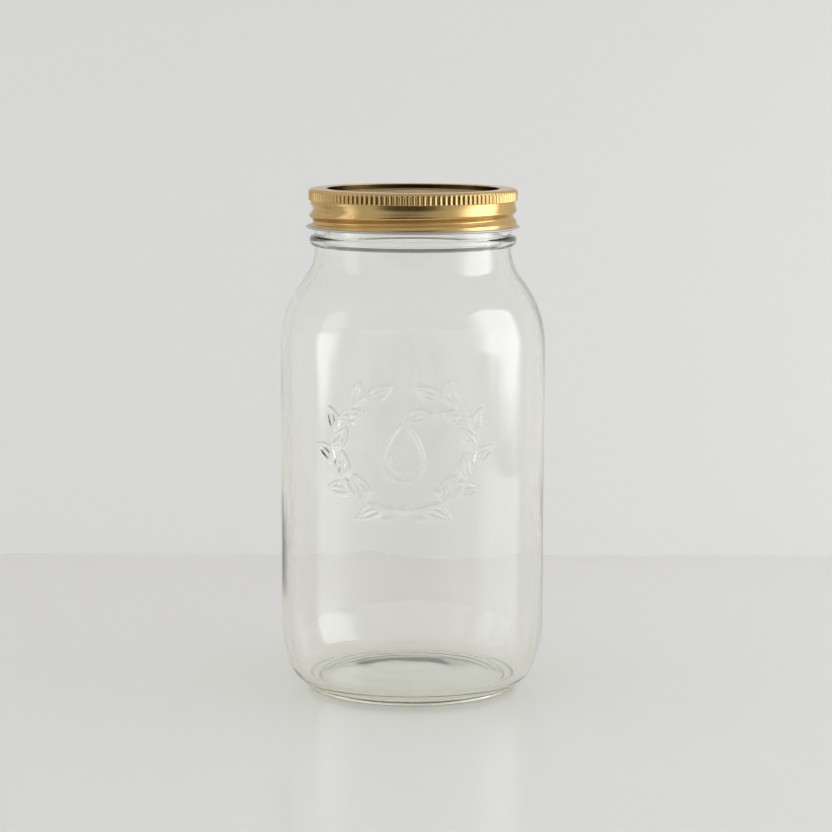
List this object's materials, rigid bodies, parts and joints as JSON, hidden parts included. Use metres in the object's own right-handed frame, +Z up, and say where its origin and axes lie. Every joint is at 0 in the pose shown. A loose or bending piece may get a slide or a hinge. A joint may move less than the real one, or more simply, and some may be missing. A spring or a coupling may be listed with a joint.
{
  "type": "mason jar",
  "caption": "Clear wide-mouth canning jar with a flat metal lid and a threaded metal band that screws up and off.",
  "frame": {"origin": "centre of the circle that the jar stands on", "axes": "+Z up along the jar's axis, -Y towards the front with the raised ornament, +X to its right"},
  "size_m": [0.1106, 0.1106, 0.2102],
  "materials": {
    "clear_glass": "clear soda-lime glass, smooth, very slightly green",
    "gold_tinplate": "satin gold lacquer on tinplate steel",
    "seal_rubber": "soft matt lining compound"
  },
  "bodies": {
    "jar": {"glass_jar": "clear_glass"},
    "lid": {"lid_disc": "gold_tinplate", "sealing_compound": "seal_rubber"},
    "band": {"screw_band": "gold_tinplate"}
  },
  "joints": [
    {"name": "closure_rise", "type": "slide", "parent": "jar", "child": "lid", "axis": [0, 0, 1], "range_m": [0, 0.0254]},
    {"name": "band_turn", "type": "hinge", "parent": "lid", "child": "band", "pos_m": [0, 0, 0.2], "axis": [0, 0, 1], "range_deg": [0, 1800]}
  ],
  "couplings": [
    {"joint": "closure_rise", "follows": "band_turn", "m_per_rad": 0.00080851}
  ]
}
